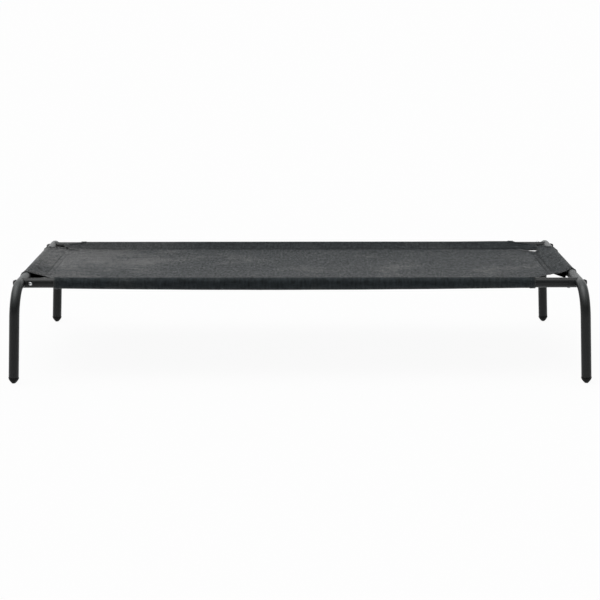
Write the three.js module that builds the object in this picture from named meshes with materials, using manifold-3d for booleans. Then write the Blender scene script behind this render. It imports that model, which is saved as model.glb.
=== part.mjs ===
// Raised dog bed: a sheet of woven mesh, sewn into four sleeves, stretched on a bolted frame of steel tube.
// Millimetres, +X along the bed, +Y to the rear, +Z up. The origin is on the floor, amid the four feet.
import * as THREE from "three";
import { mergeVertices } from "three/addons/utils/BufferGeometryUtils.js";
import Module from "manifold-3d";

const wasm = await Module();
wasm.setup();

// ---- Frame ---------------------------------------------------------------------------------------
const tubeDiameter = 19; // every tube of the frame
const tubeWall = 1.2;
const endTubeSpacing = 1066; // between the axes of the two end tubes
const legSpacing = 582; // between the axes of the two legs of one end frame
const tubeAxisHeight = 179.4; // axes of the end tubes and rails above the floor
const bendRadius = 52; // of the centreline, where the end tube turns down into a leg
const bendToRail = 19; // straight run between a bend and the axis of the rail
const legLean = THREE.MathUtils.degToRad(2.4); // the legs spread outwards along the bed
const fitGap = 0.3; // clearance between pieces that touch or slide into each other

// ---- Rails, with a threaded insert riveted inside each end
const insertLength = 30;
const rivetFromEndTube = 20; // rivet to the axis of the end tube
const rivetShankDiameter = 3.4;
const rivetHeadDiameter = 6.6;
const rivetHeadHeight = 1.5;
const rivetMandrelDiameter = 2;
const rivetMandrelDepth = 0.7;
const rivetTipCover = 0.7; // insert metal left between the rivet and the bolt's bore

// ---- M6 frame bolts: button heads with a hexagon socket, each on a saddle washer that fits the round tube
const boltDiameter = 6;
const boltEngagement = 21; // thread inside the insert
const boltHeadDiameter = 10.5;
const boltHeadHeight = 3.3;
const boltCrownDiameter = 5.6; // flat on top of the dome
const socketAcrossFlats = 4;
const socketDepth = 2.1;
const washerDiameter = 12;
const washerThickness = 1.2; // where it is thinnest, over the crown of the tube

// ---- Feet: moulded plugs pushed into the ends of the legs
const noseHeight = 10.5; // from the floor to the widest part
const noseShoulder = 6.8; // height at which the nose's sides would meet the rim if they were straight
const noseTipDiameter = 6.5;
const footRimOverTube = 0.4; // rim standing proud of the tube all round
const footRimHeight = 1.2;
const spigotLength = 20;
const spigotWall = 1.6;
const barbHeight = 0.7; // rings on the spigot that grip the tube
const barbPitch = 5;
const barbCount = 3;

// ---- Cover: panel and sleeves of one woven mesh
const meshThickness = 1;
const railSleeveDepth = 40; // axis of a rail to the seam that closes its sleeve
const endSleeveDepth = 36; // axis of an end tube to the seam that closes its sleeve
const sleeveTipSewn = 4; // where the two layers are already together, short of the seam
const seamLap = 12; // hem allowance that runs on under the panel
const hemWidth = 10; // turned-back hem at each mouth of a sleeve
const hemThickness = 1; // that it adds
// Bare tube at each corner, from where the axes of rail and end tube cross to the mouths of the sleeves.
const bareTube = {
  front_left: { rail: 64, end: 62 },
  front_right: { rail: 84, end: 93 },
  rear_left: { rail: 61, end: 62 },
  rear_right: { rail: 73, end: 91 },
};

// ---- Facets
const tubeSides = 24;
const bendSteps = 6;
const footSides = 20;
const fittingSides = 16;
const holeSides = 12;

// ---- Derived
const tubeRadius = tubeDiameter / 2;
const boreRadius = tubeRadius - tubeWall;
const slideRadius = boreRadius - fitGap; // of what slides into a tube
const railSpacing = legSpacing - 2 * (bendRadius + bendToRail);
const boltHoleRadius = boltDiameter / 2 + fitGap;
const rivetHoleRadius = rivetShankDiameter / 2 + fitGap;
const legReach = tubeAxisHeight / Math.cos(legLean); // end tube axis to the floor, measured down a leg
const footHeight = noseHeight + footRimHeight;
const washerSeat = tubeRadius + fitGap; // from a tube's axis
const boltSeat = washerSeat + washerThickness + fitGap;

// ---- Materials -----------------------------------------------------------------------------------
function finish(name, color, roughness, metalness) {
  return new THREE.MeshStandardMaterial({ name, color, roughness, metalness });
}
const powderCoat = finish("powder_coat", 0x2b2f2f, 0.38, 0.2);
const blackPlastic = finish("black_plastic", 0x1f2122, 0.5, 0);
const blackBolt = finish("black_bolt", 0x232526, 0.35, 0.6);
const zincSteel = finish("zinc_steel", 0x9a9c9e, 0.4, 0.9);
const brightRivet = finish("bright_rivet", 0xd4d6d8, 0.25, 1);
const wovenMesh = finish("woven_mesh", 0x505354, 0.85, 0);

// ---- Solids --------------------------------------------------------------------------------------
function solidOf(geometry) {
  const bare = geometry.clone();
  bare.deleteAttribute("normal");
  bare.deleteAttribute("uv");
  const merged = mergeVertices(bare, 1e-4);
  return new wasm.Manifold(
    new wasm.Mesh({
      numProp: 3,
      vertProperties: merged.attributes.position.array,
      triVerts: new Uint32Array(merged.index.array),
    }),
  );
}

function geometryOf(solid) {
  const mesh = solid.getMesh();
  const geometry = new THREE.BufferGeometry();
  geometry.setAttribute("position", new THREE.BufferAttribute(mesh.vertProperties, 3));
  geometry.setIndex(new THREE.BufferAttribute(mesh.triVerts, 1));
  geometry.computeVertexNormals();
  return geometry;
}

function cut(geometry, ...tools) {
  return geometryOf(tools.reduce((solid, tool) => solid.subtract(solidOf(tool)), solidOf(geometry)));
}

function join(geometry, ...others) {
  return geometryOf(others.reduce((solid, other) => solid.add(solidOf(other)), solidOf(geometry)));
}

// A closed profile of Vector2(radius, height) turned about the Z axis, listed with the metal on its left.
function turned(profile, sides = tubeSides) {
  return new THREE.LatheGeometry([...profile, profile[0]], sides).rotateX(Math.PI / 2);
}

// A round bar along Z from z = low to z = high.
function bar(radius, low, high, sides = holeSides) {
  const length = high - low;
  return new THREE.CylinderGeometry(radius, radius, length, sides)
    .rotateX(Math.PI / 2)
    .translate(0, 0, low + length / 2);
}

const at = (radius, height) => new THREE.Vector2(radius, height);

// ---- End frame: one tube bent into two legs ------------------------------------------------------
// Its centreline lies in the YZ plane, with the end tube at the origin. Steps fall at the ends of the
// straight runs and evenly through the bends.
class EndFramePath extends THREE.Curve {
  constructor() {
    super();
    this.points = [];
    this.tangents = [];
    const legY = legSpacing / 2;
    const legEnd = -(legReach - footHeight);
    const add = (y, z, angle) => {
      this.points.push(new THREE.Vector3(0, y, z));
      this.tangents.push(new THREE.Vector3(0, Math.cos(angle), Math.sin(angle)));
    };
    add(-legY, legEnd, Math.PI / 2);
    for (const side of [-1, 1]) {
      for (let step = 0; step <= bendSteps; step += 1) {
        const turn = (step / bendSteps) * (Math.PI / 2); // how far round this bend
        const angle = side < 0 ? Math.PI / 2 - turn : -turn;
        const centreY = side * (legY - bendRadius);
        const normal = angle + Math.PI / 2;
        add(centreY + bendRadius * Math.cos(normal), bendRadius * (Math.sin(normal) - 1), angle);
      }
    }
    add(legY, legEnd, -Math.PI / 2);
  }

  get steps() {
    return this.points.length - 1;
  }

  getPointAt(u, target = new THREE.Vector3()) {
    return target.copy(this.points[Math.round(u * this.steps)]);
  }

  getTangentAt(u, target = new THREE.Vector3()) {
    return target.copy(this.tangents[Math.round(u * this.steps)]);
  }
}

function endFrameGeometry() {
  const ring = new THREE.Shape().absarc(0, 0, tubeRadius, 0, 2 * Math.PI);
  ring.holes.push(new THREE.Path().absarc(0, 0, boreRadius, 0, 2 * Math.PI, true));
  const path = new EndFramePath();
  const tube = new THREE.ExtrudeGeometry(ring, {
    steps: path.steps,
    curveSegments: tubeSides / 2,
    extrudePath: path,
  });
  // The bolt holes are level, in line with the rails, so they are drilled off square to the leaning frame.
  const boltHoles = [-1, 1].map((side) =>
    bar(boltHoleRadius, -tubeDiameter, tubeDiameter)
      .rotateY(Math.PI / 2 - legLean)
      .translate(0, (side * railSpacing) / 2, 0),
  );
  return cut(tube, ...boltHoles);
}

// ---- Foot cap: axis along the leg, z = 0 where it meets the tube ---------------------------------
function footCapGeometry() {
  const rim = tubeRadius + footRimOverTube;
  const nose = new THREE.QuadraticBezierCurve(
    at(noseTipDiameter / 2, -footHeight),
    at(rim, noseShoulder - footHeight),
    at(rim, noseHeight - footHeight),
  ).getPoints(5);
  const coreRadius = slideRadius - barbHeight;
  const barbs = [];
  for (let ring = 0; ring < barbCount; ring += 1) {
    const low = barbPitch * (ring + 0.5);
    barbs.push(at(coreRadius, low), at(slideRadius, low), at(coreRadius, low + barbPitch / 2));
  }
  const overrun = 2; // the nose runs on below the floor, where the tip is cut level
  const profile = [
    at(0, -footHeight - overrun),
    at(noseTipDiameter / 2, -footHeight - overrun),
    ...nose,
    at(rim, -fitGap),
    at(coreRadius, -fitGap),
    ...barbs,
    at(coreRadius, spigotLength),
    at(coreRadius - spigotWall, spigotLength),
    at(coreRadius - spigotWall, 0),
    at(0, 0),
  ];
  const floorBlock = new THREE.BoxGeometry(4 * rim, 4 * rim, tubeDiameter)
    .translate(0, 0, -tubeDiameter / 2)
    .rotateY(-legLean)
    .translate(0, 0, -footHeight);
  return cut(turned(profile, footSides), floorBlock);
}

// ---- Rail: axis along Z, middle at the origin ----------------------------------------------------
// A fitting's angle is measured about the rail from +X, and each rail has one rivet hole near either end.
function railGeometry(lowRivetAngle, highRivetAngle) {
  const reach = endTubeSpacing / 2;
  const tube = turned([
    at(boreRadius, -reach),
    at(tubeRadius, -reach),
    at(tubeRadius, reach),
    at(boreRadius, reach),
  ]);
  // The mouths are cut to the round of the end tubes, which lie along Y.
  const endTubes = [-1, 1].map((end) =>
    bar(tubeRadius + fitGap, -tubeDiameter, tubeDiameter, 2 * tubeSides)
      .rotateX(Math.PI / 2)
      .translate(0, 0, end * reach),
  );
  const lowHole = rivetHole().translate(0, 0, -reach).rotateZ(lowRivetAngle);
  const highHole = rivetHole().translate(0, 0, -reach).rotateX(Math.PI).rotateZ(highRivetAngle);
  return cut(tube, ...endTubes, lowHole, highHole);
}

// Along +X, where a rivet sits in a rail end whose end tube's axis is at z = 0.
function rivetHole() {
  return bar(rivetHoleRadius, 0, tubeDiameter)
    .rotateY(Math.PI / 2)
    .translate(0, 0, rivetFromEndTube);
}

// ---- Threaded insert inside the rail's outer end -------------------------------------------------
function railInsertGeometry() {
  const start = tubeRadius + fitGap;
  const chamfer = 1;
  const body = turned([
    at(boltHoleRadius, start),
    at(slideRadius, start),
    at(slideRadius, start + insertLength - chamfer),
    at(slideRadius - chamfer, start + insertLength),
    at(boltHoleRadius, start + insertLength),
  ]);
  return cut(body, rivetHole());
}

// ---- Rivet: axis along +X, head outside the rail -------------------------------------------------
function rivetGeometry() {
  const shank = rivetShankDiameter / 2;
  const head = rivetHeadDiameter / 2;
  const mandrel = rivetMandrelDiameter / 2;
  const seat = tubeRadius + fitGap;
  const tip = boltHoleRadius + rivetTipCover;
  const dome = new THREE.QuadraticBezierCurve(
    at(head, seat + rivetHeadHeight / 4),
    at(head, seat + rivetHeadHeight),
    at(mandrel, seat + rivetHeadHeight),
  ).getPoints(3);
  return turned(
    [
      at(0, tip),
      at(shank, tip),
      at(shank, seat),
      at(head, seat),
      ...dome,
      at(mandrel, seat + rivetHeadHeight - rivetMandrelDepth),
      at(0, seat + rivetHeadHeight - rivetMandrelDepth),
    ],
    fittingSides,
  )
    .rotateY(Math.PI / 2)
    .translate(0, 0, rivetFromEndTube);
}

// ---- Frame bolt and its washer: axis along Z, head outside the end tube, shank towards +Z --------
function boltGeometry() {
  const tip = washerSeat + boltEngagement;
  const head = boltHeadDiameter / 2;
  const edge = boltHeadHeight / 8;
  const dome = new THREE.QuadraticBezierCurve(
    at(boltCrownDiameter / 2, -boltSeat - boltHeadHeight),
    at(head - edge, -boltSeat - boltHeadHeight),
    at(head, -boltSeat - edge),
  ).getPoints(4);
  const pointing = 1; // lead-in chamfer of the thread
  const profile = [
    at(0, -boltSeat - boltHeadHeight),
    ...dome,
    at(head, -boltSeat),
    at(boltDiameter / 2, -boltSeat),
    at(boltDiameter / 2, tip - pointing),
    at(boltDiameter / 2 - pointing, tip),
    at(0, tip),
  ];
  const socketRadius = socketAcrossFlats / Math.sqrt(3);
  const socketFloor = -boltSeat - boltHeadHeight + socketDepth;
  const socket = bar(socketRadius, socketFloor - 2 * boltHeadHeight, socketFloor, 6);
  return cut(turned(profile, fittingSides), socket);
}

function washerGeometry() {
  const outer = washerDiameter / 2;
  const face = -washerSeat - washerThickness;
  const blank = turned(
    [at(boltHoleRadius, face), at(outer, face), at(outer, 0), at(boltHoleRadius, 0)],
    fittingSides,
  );
  const endTube = bar(tubeRadius + fitGap, -tubeDiameter, tubeDiameter, 2 * tubeSides).rotateX(Math.PI / 2);
  return cut(blank, endTube);
}

// ---- Sleeve: the mesh goes round a tube and comes back to a seam ---------------------------------
// The outline has its tube at the origin, x towards the middle of the bed and y up.
function sleeveOutline(outerRadius, depth) {
  const lapTop = -(meshThickness / 2 + fitGap);
  const seamTop = at(depth, meshThickness / 2);
  const seamBottom = at(depth, lapTop - meshThickness);
  const outline = new THREE.Shape();
  roundTube(outline, seamTop, seamBottom, outerRadius);
  outline.lineTo(depth + seamLap, seamBottom.y);
  outline.lineTo(depth + seamLap, lapTop);
  outline.lineTo(depth, lapTop);
  const opening = new THREE.Path();
  const tip = at(depth - sleeveTipSewn, 0);
  roundTube(opening, tip, tip, tubeRadius + fitGap);
  outline.holes.push(opening);
  return outline;
}

// From a point beside the tube, over it on a radius, and back under it to a second point.
function roundTube(path, start, finish, radius) {
  const onto = start.angle() + Math.acos(radius / start.length());
  const off = finish.angle() - Math.acos(radius / finish.length());
  path.moveTo(start.x, start.y);
  path.lineTo(radius * Math.cos(onto), radius * Math.sin(onto));
  path.absarc(0, 0, radius, onto, off > onto ? off : off + 2 * Math.PI);
  path.lineTo(finish.x, finish.y);
}

// The sleeve lies along Y about its middle, with x towards the middle of the bed.
function sleeveGeometry(length, depth) {
  const outerRadius = tubeRadius + fitGap + meshThickness;
  const section = (radius, from, to) =>
    new THREE.ExtrudeGeometry(sleeveOutline(radius, depth), {
      depth: to - from,
      curveSegments: tubeSides / 2,
      bevelEnabled: false,
    })
      .translate(0, 0, from)
      .rotateX(Math.PI / 2);
  const end = length / 2;
  return join(
    section(outerRadius, -end, end),
    section(outerRadius + hemThickness, -end, hemWidth - end),
    section(outerRadius + hemThickness, end - hemWidth, end),
  );
}

// ---- Panel ---------------------------------------------------------------------------------------
// Its corners are cut off straight, from the seam end of one sleeve to the seam end of the next.
function panelGeometry() {
  const alongX = endTubeSpacing / 2 - endSleeveDepth - fitGap;
  const alongY = railSpacing / 2 - railSleeveDepth - fitGap;
  const corners = [
    ["front_left", -1, -1],
    ["front_right", 1, -1],
    ["rear_right", 1, 1],
    ["rear_left", -1, 1],
  ];
  const outline = corners.flatMap(([corner, x, y]) => {
    const bare = bareTube[corner];
    const besideRail = at(x * (endTubeSpacing / 2 - bare.rail), y * alongY);
    const besideEnd = at(x * alongX, y * (railSpacing / 2 - bare.end));
    return x === y ? [besideEnd, besideRail] : [besideRail, besideEnd];
  });
  return new THREE.ExtrudeGeometry(new THREE.Shape(outline), {
    depth: meshThickness,
    bevelEnabled: false,
  }).translate(0, 0, -meshThickness / 2);
}

// ---- Assembly ------------------------------------------------------------------------------------
const bed = new THREE.Group();
bed.name = "raised_dog_bed";

function place(parent, name, geometry, material) {
  const mesh = new THREE.Mesh(geometry, material);
  mesh.name = name;
  parent.add(mesh);
  return mesh;
}

const rowName = (y) => (y < 0 ? "front" : "rear");
const endName = (x) => (x < 0 ? "left" : "right");

// An end frame with its feet. The group is turned half round for the right end.
const frameGeometry = endFrameGeometry();
const capGeometry = footCapGeometry();

function addEndFrame(end) {
  const turned180 = new THREE.Group();
  turned180.rotation.z = end < 0 ? 0 : Math.PI;
  bed.add(turned180);
  const leaning = new THREE.Group();
  leaning.position.set(-endTubeSpacing / 2, 0, tubeAxisHeight);
  leaning.rotation.y = legLean;
  turned180.add(leaning);
  place(leaning, `${endName(end)}_end_frame`, frameGeometry, powderCoat);
  for (const side of [-1, 1]) {
    const row = end < 0 ? side : -side;
    const cap = place(leaning, `foot_cap_${rowName(row)}_${endName(end)}`, capGeometry, blackPlastic);
    cap.position.set(0, (side * legSpacing) / 2, footHeight - legReach);
  }
}

// Where each rivet faces: y to the rear, z up.
const rivetFacing = {
  front_left: at(-1, 0),
  front_right: at(0, -1),
  rear_left: at(0, -1),
  rear_right: at(0, 1),
};

// A rail's group runs from the left end tube to the right one along its +Z, with its +X down.
function addRail(row) {
  const side = row === "front" ? -1 : 1;
  const railGroup = new THREE.Group();
  railGroup.position.set(0, (side * railSpacing) / 2, tubeAxisHeight);
  railGroup.rotation.y = Math.PI / 2;
  bed.add(railGroup);
  const angleOf = (corner) => Math.atan2(rivetFacing[corner].x, -rivetFacing[corner].y);
  const leftAngle = angleOf(`${row}_left`);
  const rightAngle = angleOf(`${row}_right`);
  place(railGroup, `${row}_rail`, railGeometry(leftAngle, rightAngle), powderCoat);
}

// What is at one end of a rail. The group's +Z runs inwards along the rail from the end tube's axis.
const insertGeometry = railInsertGeometry();
const rivet = rivetGeometry();
const bolt = boltGeometry();
const washer = washerGeometry();

function addRailEnd(end, row) {
  const corner = `${rowName(row)}_${endName(end)}`;
  const inwards = new THREE.Group();
  inwards.position.set((end * endTubeSpacing) / 2, (row * railSpacing) / 2, tubeAxisHeight);
  inwards.rotation.y = (-end * Math.PI) / 2;
  bed.add(inwards);
  place(inwards, `frame_bolt_${corner}`, bolt, blackBolt);
  place(inwards, `saddle_washer_${corner}`, washer, blackPlastic);

  const facing = rivetFacing[corner];
  const riveted = new THREE.Group();
  riveted.rotation.z = Math.atan2(facing.x, end * facing.y);
  inwards.add(riveted);
  place(riveted, `rail_insert_${corner}`, insertGeometry, zincSteel);
  place(riveted, `rail_rivet_${corner}`, rivet, brightRivet);
}

// A sleeve on a rail from its left mouth, at x = low, to its right one.
function addRailSleeve(row) {
  const side = row === "front" ? -1 : 1;
  const low = bareTube[`${row}_left`].rail - endTubeSpacing / 2;
  const high = endTubeSpacing / 2 - bareTube[`${row}_right`].rail;
  const sleeve = place(bed, `${row}_sleeve`, sleeveGeometry(high - low, railSleeveDepth), wovenMesh);
  sleeve.position.set((low + high) / 2, (side * railSpacing) / 2, tubeAxisHeight);
  sleeve.rotation.z = (-side * Math.PI) / 2;
}

// A sleeve on an end tube from its front mouth, at y = low, to its rear one.
function addEndSleeve(end) {
  const side = end === "left" ? -1 : 1;
  const low = bareTube[`front_${end}`].end - railSpacing / 2;
  const high = railSpacing / 2 - bareTube[`rear_${end}`].end;
  const sleeve = place(bed, `${end}_sleeve`, sleeveGeometry(high - low, endSleeveDepth), wovenMesh);
  sleeve.position.set((side * endTubeSpacing) / 2, (low + high) / 2, tubeAxisHeight);
  sleeve.rotation.z = side < 0 ? 0 : Math.PI;
}

function addCover() {
  const panel = place(bed, "cover_panel", panelGeometry(), wovenMesh);
  panel.position.z = tubeAxisHeight;
  addRailSleeve("front");
  addRailSleeve("rear");
  addEndSleeve("left");
  addEndSleeve("right");
}

for (const end of [-1, 1]) {
  addEndFrame(end);
  addRailEnd(end, -1);
  addRailEnd(end, 1);
}
addRail("front");
addRail("rear");
addCover();

export default bed;
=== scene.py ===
"""A raised dog bed: one sheet of woven mesh, sewn into sleeves on a bolted frame of bent steel tube."""

import math
from typing import NamedTuple

import bmesh
import bpy
from bpy.props import FloatProperty, FloatVectorProperty, IntProperty, PointerProperty
from mathutils import Matrix, Vector, noise


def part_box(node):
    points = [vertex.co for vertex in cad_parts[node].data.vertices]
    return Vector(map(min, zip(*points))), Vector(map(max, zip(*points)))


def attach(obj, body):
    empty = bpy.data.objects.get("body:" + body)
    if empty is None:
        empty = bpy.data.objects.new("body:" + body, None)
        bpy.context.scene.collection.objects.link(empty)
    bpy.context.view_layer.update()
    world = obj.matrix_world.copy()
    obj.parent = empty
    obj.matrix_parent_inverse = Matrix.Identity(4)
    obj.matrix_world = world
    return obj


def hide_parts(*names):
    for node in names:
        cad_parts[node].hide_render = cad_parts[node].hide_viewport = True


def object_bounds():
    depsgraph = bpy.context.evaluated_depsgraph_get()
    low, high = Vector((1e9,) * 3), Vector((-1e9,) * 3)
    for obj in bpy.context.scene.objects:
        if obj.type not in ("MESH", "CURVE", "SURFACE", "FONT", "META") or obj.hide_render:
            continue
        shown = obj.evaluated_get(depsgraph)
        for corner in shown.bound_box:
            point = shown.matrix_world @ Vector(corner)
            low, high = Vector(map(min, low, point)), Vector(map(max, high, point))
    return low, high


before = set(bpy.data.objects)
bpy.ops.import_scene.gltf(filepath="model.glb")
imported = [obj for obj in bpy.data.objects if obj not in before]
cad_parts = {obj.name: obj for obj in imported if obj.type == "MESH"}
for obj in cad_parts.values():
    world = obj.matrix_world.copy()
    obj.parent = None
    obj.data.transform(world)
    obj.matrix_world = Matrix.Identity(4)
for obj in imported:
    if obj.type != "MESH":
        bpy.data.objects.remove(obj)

bl_info = {
    "name": "Raised Dog Bed",
    "version": (1, 0, 0),
    "blender": (4, 5, 0),
    "location": "3D Viewport > Sidebar > Dog Bed",
    "description": "Dresses the solids of a raised dog bed: tubes, fittings and a sewn mesh cover",
    "category": "Object",
}

CAD_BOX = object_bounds()
ENDS = (-1, 1)  # left, right
ROWS = (-1, 1)  # front, rear
CORNERS = [(end, row) for end in ENDS for row in ROWS]
UP = Vector((0, 0, 1))


def centre(node):
    """The middle of a node's box."""
    low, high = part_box(node)
    return (low + high) / 2


def corner_name(end, row):
    """The name that every piece at one corner ends with."""
    return f"{'front' if row < 0 else 'rear'}_{'left' if end < 0 else 'right'}"


# ---- Sizes ----

RAIL_LOW, RAIL_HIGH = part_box("front_rail")
TUBE_RADIUS = (RAIL_HIGH.z - RAIL_LOW.z) / 2
LEFT_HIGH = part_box("left_end_frame")[1]
PANEL_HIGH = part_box("cover_panel")[1]


def metres(label, words, default):
    """A length that the sidebar shows in the scene's unit."""
    return FloatProperty(
        name=label, description=words, default=default, precision=5, subtype="DISTANCE", unit="LENGTH"
    )


def angle_of(label, words, degrees):
    """An angle, stated here in degrees."""
    return FloatProperty(
        name=label, description=words, default=math.radians(degrees), subtype="ANGLE", unit="ROTATION"
    )


def share_of(label, words, default):
    """A share, from 0 to 1."""
    return FloatProperty(name=label, description=words, default=default, min=0, max=1, subtype="FACTOR")


def colour_of(label, words, default):
    """A linear colour."""
    return FloatVectorProperty(
        name=label, description=words, default=default, size=3, min=0, max=1, subtype="COLOR"
    )


class FrameSizes(bpy.types.PropertyGroup):
    """Sizes of the tubes and of the caps on the legs."""

    tube_radius: metres("Tube radius", "Outside radius of every tube", TUBE_RADIUS)
    tube_wall: metres("Tube wall", "Wall of every tube", 0.0012)
    clearance: metres("Clearance", "Room between pieces that touch", 0.0003)
    end_x: metres("End tube place", "From the middle to the axis of an end tube", TUBE_RADIUS - LEFT_HIGH.x)
    leg_y: metres("Leg place", "From the middle to the axis of a leg", LEFT_HIGH.y - TUBE_RADIUS)
    rail_y: metres("Rail place", "From the middle to the axis of a rail", -centre("front_rail").y)
    axis_height: metres("Axis height", "Of rails and end tubes above the floor", centre("front_rail").z)
    bend_radius: metres("Bend radius", "Of the centreline, from end tube to leg", 0.052)
    bend_flattening: share_of("Bend flattening", "Share of its depth that the tube loses in a bend", 0.035)
    leg_lean: angle_of("Leg lean", "How far the legs spread along the bed", 2.4)
    cap_height: metres("Cap height", "From the floor to the end of the tube", 0.0117)
    cap_nose_height: metres("Cap nose height", "From the floor to the cap's rim", 0.0105)
    cap_shoulder: metres("Cap shoulder", "Where the nose starts to close in", 0.0068)
    cap_tip_radius: metres("Cap tip radius", "Of the flat that stands on the floor", 0.00325)
    cap_rim: metres("Cap rim", "How far the cap stands out from the tube", 0.0004)
    spigot_length: metres("Spigot length", "Of the cap inside the tube", 0.020)


class FastenerSizes(bpy.types.PropertyGroup):
    """Sizes of the bolts, their washers and the rivets."""

    bolt_radius: metres("Bolt radius", "Of the shank", 0.003)
    head_radius: metres("Head radius", "Of the bolt's button head", 0.00525)
    head_height: metres("Head height", "Of the bolt's button head", 0.0033)
    crown_radius: metres("Crown radius", "Of the flat round the socket", 0.0028)
    socket_width: metres("Socket width", "Across the flats of the socket", 0.004)
    socket_depth: metres("Socket depth", "Of the hexagon socket", 0.0021)
    washer_radius: metres("Washer radius", "Outside radius of the saddle washer", 0.006)
    washer_thickness: metres("Washer thickness", "Over the crown of the tube", 0.0012)
    engagement: metres("Engagement", "Of the bolt in the rail's insert", 0.021)
    rivet_shank: metres("Rivet shank", "Radius of the rivet's shank", 0.0017)
    rivet_head: metres("Rivet head", "Radius of the rivet's head", 0.0033)
    rivet_height: metres("Rivet height", "Of the rivet's head", 0.0015)
    mandrel: metres("Mandrel", "Radius of the broken stem in the rivet", 0.001)


class CoverSizes(bpy.types.PropertyGroup):
    """Sizes of the sewn cover."""

    thickness: metres("Thickness", "Of the woven mesh", 0.0006)
    clearance: metres("Clearance", "Between a sleeve and its tube", 0.0001)
    seam_x: metres("End seams", "From the middle to the seams of the end sleeves", PANEL_HIGH.x)
    seam_y: metres("Long seams", "From the middle to the seams of the long sleeves", PANEL_HIGH.y)
    loose_rear: metres("Loose rear", "How far the rear sleeve stands off its rail at the right", 0.0008)
    hem_width: metres("Hem width", "Of the hem turned in at a sleeve's mouth", 0.010)
    hem_rise: metres("Hem rise", "How far a hem stands proud", 0.0008)
    lap: metres("Seam lap", "Of the sleeve under the panel", 0.012)
    sag: metres("Sag", "Of the middle of the panel", 0.003)
    front_slack: metres("Front slack", "Of the front sleeve below its rail, in its middle", 0.0034)
    rear_slack: metres("Rear slack", "Of the rear sleeve below its rail, in its middle", 0.0012)
    seam_rise: metres("Rear seam rise", "Of the rear seam above the tubes' axes", 0.0012)
    pucker: metres("Pucker", "Height of the gathers along a seam", 0.0004)
    ripple: metres("Ripple", "Height of the slow waves in the sheet", 0.0007)
    thread_pitch: metres("Thread pitch", "From one thread of the mesh to the next", 0.0012)
    stitch_length: metres("Stitch length", "Of one stitch of a seam", 0.0042)
    stitch_gap: metres("Stitch gap", "Between two stitches", 0.0018)
    stitch_radius: metres("Sewing thread", "Radius of the sewing thread", 0.00038)
    cells: IntProperty(name="Fineness", description="Cells of the sheet along the bed", default=240, min=40)


class Finishes(bpy.types.PropertyGroup):
    """Colours of the bed's materials."""

    steel: colour_of("Powder coat", "Of the tubes", (0.0105, 0.0118, 0.0118))
    # Colour of a painted highlight on the upper side of the tubes, with a dusty film
    dust_and_highlight: colour_of("Dust", "Settled on the upper side of the tubes", (0.085, 0.091, 0.091))
    plastic: colour_of("Plastic", "Of caps and washers", (0.007, 0.0073, 0.0075))
    bolt: colour_of("Bolt", "Black oxide of the bolts", (0.014, 0.014, 0.015))
    zinc: colour_of("Zinc", "Plating of the inserts", (0.48, 0.49, 0.51))
    rivet: colour_of("Rivet", "Bright steel of the rivets", (0.74, 0.75, 0.76))
    mesh: colour_of("Mesh", "Threads of the cover", (0.036, 0.043, 0.048))
    # Also the tone of the painted sheen towards the rear left corner
    mesh_warm: colour_of("Mesh, warm", "Threads of the cover where they are faded", (0.090, 0.086, 0.080))
    # Painted shade in the holes between the threads
    gap: colour_of("Gap", "Between the threads of the cover", (0.007, 0.0075, 0.008))
    thread: colour_of("Sewing thread", "Of the seams", (0.016, 0.017, 0.018))
    floor: colour_of("Floor", "Of the studio floor", (0.70, 0.70, 0.70))


class ViewSizes(bpy.types.PropertyGroup):
    """Where the camera stands, and the light."""

    distance: metres("Distance", "From the middle of the bed to the camera", 3.40515)
    height: metres("Height", "Of the camera above the floor", 0.75691)
    pitch: angle_of("Pitch", "How far the camera looks down", 10.8635)
    roll: angle_of("Roll", "How far the camera is turned about its own axis", -0.05)
    lens: FloatProperty(
        name="Lens", description="Focal length of the camera", default=101.764, min=1,
        subtype="DISTANCE_CAMERA",
    )
    sun: FloatProperty(
        name="Sun", description="Strength of the soft sun in watts a square metre", default=0.3, min=0
    )
    white: share_of("Floor white", "Share of the floor's white that no shadow falls on", 0.94)


# ---- Shader maths ----


class Value:
    """A number in a shader. Arithmetic on it adds Math nodes."""

    def __init__(self, nodes, socket):
        self.nodes = nodes
        self.socket = socket

    def beside(self, output):
        """Another output of the same node."""
        return Value(self.nodes, self.socket.node.outputs[output])

    def math(self, operation, *others):
        return self.nodes.node("ShaderNodeMath", {"operation": operation}, (self, *others))

    def __add__(self, other):
        return self.math("ADD", other)

    def __sub__(self, other):
        return self.math("SUBTRACT", other)

    def __rsub__(self, other):
        return self.nodes.node("ShaderNodeMath", {"operation": "SUBTRACT"}, (other, self))

    def __mul__(self, other):
        return self.math("MULTIPLY", other)

    __radd__ = __add__
    __rmul__ = __mul__


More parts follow.
